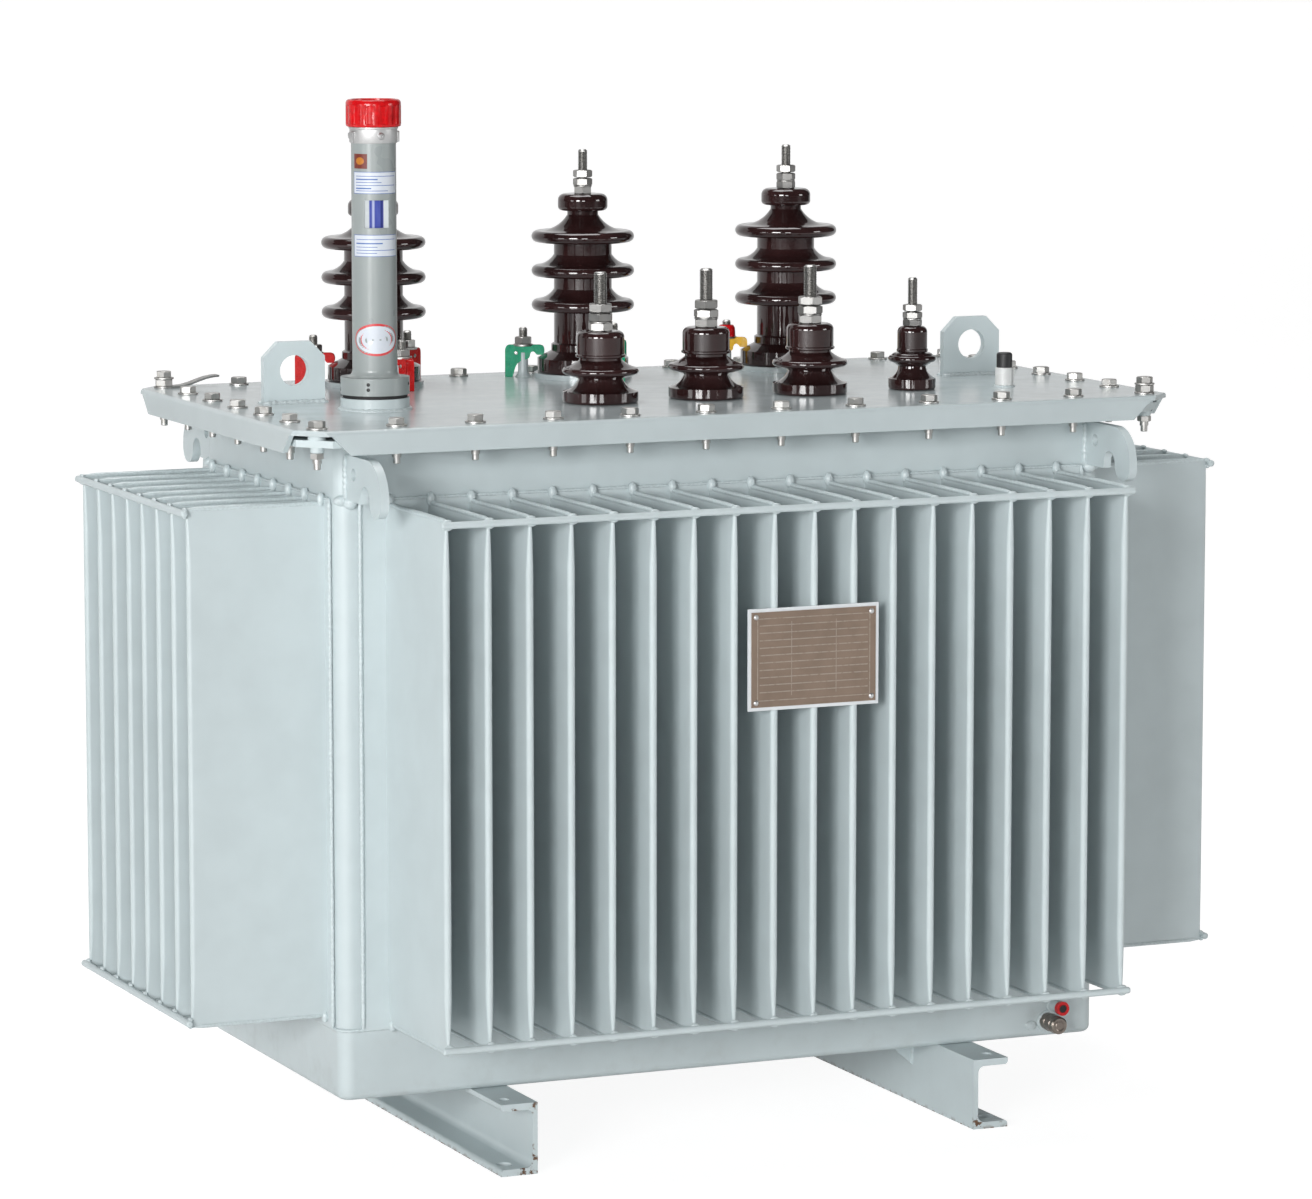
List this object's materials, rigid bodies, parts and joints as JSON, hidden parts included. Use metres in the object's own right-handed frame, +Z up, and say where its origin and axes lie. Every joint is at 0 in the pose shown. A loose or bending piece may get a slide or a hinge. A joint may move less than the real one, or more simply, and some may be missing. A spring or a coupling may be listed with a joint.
{
  "type": "oil-filled distribution transformer",
  "caption": "Sealed oil-filled transformer on two skids, with pinched corrugated cooling walls, a bolted cover, porcelain bushings and an oil gauge.",
  "frame": {"origin": "on the ground, at the middle of the four mounting holes in the lower flanges of the skids", "axes": "+X to the right along the long front face with the low-voltage bushings, +Y to the back where the high-voltage bushings stand, +Z up"},
  "size_m": [1.322, 0.836, 1.222],
  "materials": {
    "tank_paint": "satin",
    "porcelain": "gloss",
    "zinc_steel": "satin",
    "stud_brass": "satin",
    "clamp_red": "satin",
    "clamp_green": "satin",
    "clamp_yellow": "satin",
    "gauge_paint": "satin",
    "seal_rubber": "matte",
    "gauge_glass": "gloss",
    "ring_metal": "satin",
    "cap_red": "satin",
    "pocket_metal": "satin",
    "plug_black": "matte",
    "plate_bronze": "satin",
    "plate_metal": "satin"
  },
  "bodies": {
    "root": {"back_fin_rods": "tank_paint", "back_fin_wall": "tank_paint", "cover_gasket": "seal_rubber", "drain_valve": "zinc_steel", "earth_strap": "zinc_steel", "front_fin_rods": "tank_paint", "front_fin_wall": "tank_paint", "gauge_foot": "gauge_paint", "gauge_glass": "gauge_glass", "gauge_ring": "ring_metal", "gauge_seal": "seal_rubber", "gauge_tube": "gauge_paint", "hv_bushing_a": "porcelain", "hv_bushing_b": "porcelain", "hv_bushing_c": "porcelain", "hv_clamps_a": "clamp_red", "hv_clamps_b": "clamp_green", "hv_clamps_c": "clamp_yellow", "hv_terminals": "stud_brass", "left_fin_rods": "tank_paint", "left_fin_wall": "tank_paint", "lifting_hook_back_left": "tank_paint", "lifting_hook_back_right": "tank_paint", "lifting_hook_front_left": "tank_paint", "lifting_hook_front_right": "tank_paint", "lifting_lug_left": "tank_paint", "lifting_lug_right": "tank_paint", "lv_bushing_a": "porcelain", "lv_bushing_b": "porcelain", "lv_bushing_c": "porcelain", "lv_terminals": "stud_brass", "neutral_bushing": "porcelain", "oil_sampler": "zinc_steel", "plate_backing": "plate_metal", "pocket_plug": "plug_black", "rating_plate": "plate_bronze", "relief_cap": "cap_red", "right_fin_rods": "tank_paint", "right_fin_wall": "tank_paint", "sampler_cap": "cap_red", "skid_left": "tank_paint", "skid_right": "tank_paint", "tank_body": "tank_paint", "tank_bottom": "tank_paint", "tank_cover": "tank_paint", "tank_flange": "tank_paint", "thermometer_pocket": "pocket_metal"}
  },
  "joints": []
}
